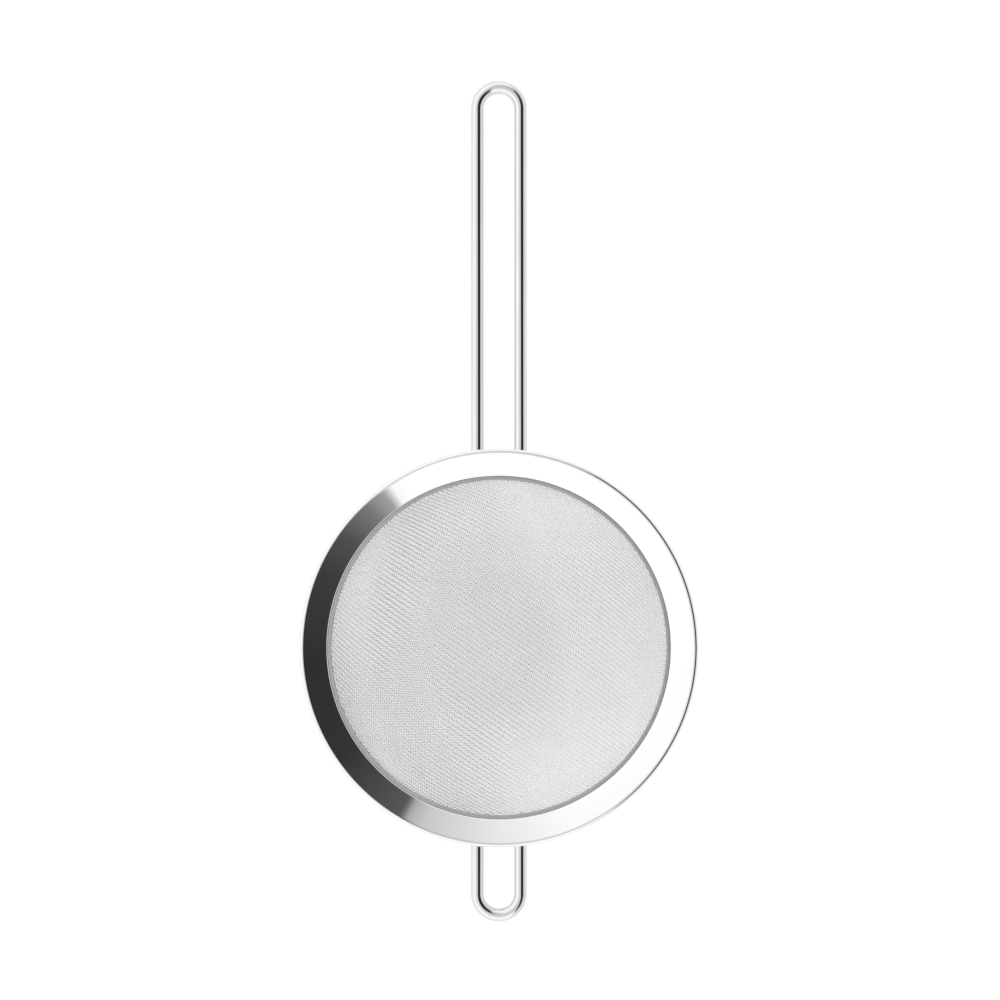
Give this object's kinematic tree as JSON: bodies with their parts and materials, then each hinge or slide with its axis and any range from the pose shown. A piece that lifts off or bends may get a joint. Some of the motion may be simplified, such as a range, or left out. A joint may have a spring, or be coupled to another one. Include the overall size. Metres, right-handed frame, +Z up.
{
  "type": "flour sieve",
  "caption": "Hand-held fine-mesh flour sieve with a shallow woven bowl, a wide polished conical rim, a long bent-wire handle and a short wire rest loop opposite it.",
  "frame": {"origin": "centre of the bowl's flat bottom, on its underside", "axes": "+Z up along the bowl's axis, out of its mouth; +Y along the handle, away from the bowl; the rest loop points along -Y"},
  "size_m": [0.16, 0.3383, 0.0363],
  "materials": {
    "polished_steel": "mirror-polished stainless steel",
    "satin_steel": "satin stainless steel",
    "woven_steel": "woven stainless steel wire cloth",
    "bright_wire_steel": "polished stainless steel wire",
    "weld_steel": "cleaned weld bead"
  },
  "bodies": {
    "root": {"rim": "polished_steel", "mesh_clamp_ring": "satin_steel", "mesh_bowl": "woven_steel", "handle": "bright_wire_steel", "rest_loop": "bright_wire_steel", "handle_weld_left": "weld_steel", "handle_weld_right": "weld_steel", "rest_weld_left": "weld_steel", "rest_weld_right": "weld_steel"}
  },
  "joints": []
}
